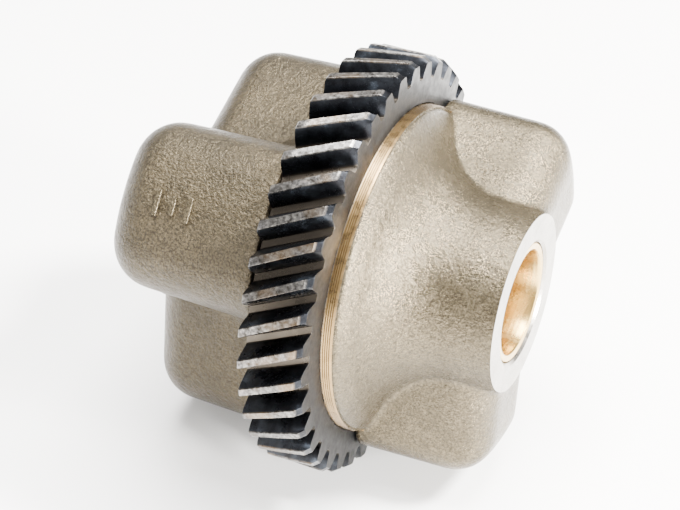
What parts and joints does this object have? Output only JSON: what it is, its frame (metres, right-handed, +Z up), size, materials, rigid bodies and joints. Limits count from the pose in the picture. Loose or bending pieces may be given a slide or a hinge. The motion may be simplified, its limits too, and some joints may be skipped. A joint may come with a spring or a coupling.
{
  "type": "differential gear assembly",
  "caption": "Automotive differential: helical ring gear on a split cast casing with planet lobes, splined side gears and bronze bushes.",
  "frame": {"origin": "centre of the ring gear, on the shaft axis", "axes": "+X along the shaft axis towards the hub with the bell-shaped casing, +Z up, +Y away from the viewer"},
  "size_m": [0.0975, 0.1134, 0.1134],
  "materials": {
    "cast_casing": "shot-blasted casting",
    "gear_steel": "oiled and worn gear steel",
    "machined_steel": "ground",
    "bronze": "bored bronze"
  },
  "bodies": {
    "casing": {"casing_left": "cast_casing", "casing_right": "cast_casing", "ring_gear": "gear_steel", "bush_left": "bronze", "bush_right": "bronze", "thrust_washer_left": "bronze", "thrust_washer_right": "bronze", "thrust_spacer": "machined_steel", "dowel_pin_1": "machined_steel", "dowel_pin_2": "machined_steel", "pinion_pin_left_1": "machined_steel", "pinion_pin_left_2": "machined_steel", "pinion_pin_left_3": "machined_steel", "pinion_pin_right_1": "machined_steel", "pinion_pin_right_2": "machined_steel", "pinion_pin_right_3": "machined_steel"},
    "side_gear_left": {"side_gear_left": "machined_steel"},
    "side_gear_right": {"side_gear_right": "machined_steel"},
    "pinion_left_1": {"pinion_left_1": "machined_steel"},
    "pinion_right_1": {"pinion_right_1": "machined_steel"},
    "pinion_left_2": {"pinion_left_2": "machined_steel"},
    "pinion_right_2": {"pinion_right_2": "machined_steel"},
    "pinion_left_3": {"pinion_left_3": "machined_steel"},
    "pinion_right_3": {"pinion_right_3": "machined_steel"}
  },
  "joints": [
    {"name": "side_gear_left_spin", "type": "hinge", "parent": "casing", "child": "side_gear_left", "pos_m": [0, 0, 0], "axis": [1, 0, 0], "continuous": true},
    {"name": "side_gear_right_spin", "type": "hinge", "parent": "casing", "child": "side_gear_right", "pos_m": [0, 0, 0], "axis": [1, 0, 0], "continuous": true},
    {"name": "pinion_left_1_spin", "type": "hinge", "parent": "casing", "child": "pinion_left_1", "pos_m": [0, -0.01085, -0.02294], "axis": [1, 0, 0], "continuous": true},
    {"name": "pinion_right_1_spin", "type": "hinge", "parent": "casing", "child": "pinion_right_1", "pos_m": [0, 0.00297, -0.0252], "axis": [1, 0, 0], "continuous": true},
    {"name": "pinion_left_2_spin", "type": "hinge", "parent": "casing", "child": "pinion_left_2", "pos_m": [0, 0.02529, 0.00207], "axis": [1, 0, 0], "continuous": true},
    {"name": "pinion_right_2_spin", "type": "hinge", "parent": "casing", "child": "pinion_right_2", "pos_m": [0, 0.02034, 0.01517], "axis": [1, 0, 0], "continuous": true},
    {"name": "pinion_left_3_spin", "type": "hinge", "parent": "casing", "child": "pinion_left_3", "pos_m": [0, -0.01444, 0.02087], "axis": [1, 0, 0], "continuous": true},
    {"name": "pinion_right_3_spin", "type": "hinge", "parent": "casing", "child": "pinion_right_3", "pos_m": [0, -0.02331, 0.01003], "axis": [1, 0, 0], "continuous": true}
  ],
  "couplings": [
    {"joint": "side_gear_right_spin", "follows": "side_gear_left_spin", "ratio": -1},
    {"joint": "pinion_left_1_spin", "follows": "side_gear_left_spin", "ratio": -2.625},
    {"joint": "pinion_right_1_spin", "follows": "side_gear_left_spin", "ratio": 2.625},
    {"joint": "pinion_left_2_spin", "follows": "side_gear_left_spin", "ratio": -2.625},
    {"joint": "pinion_right_2_spin", "follows": "side_gear_left_spin", "ratio": 2.625},
    {"joint": "pinion_left_3_spin", "follows": "side_gear_left_spin", "ratio": -2.625},
    {"joint": "pinion_right_3_spin", "follows": "side_gear_left_spin", "ratio": 2.625}
  ]
}
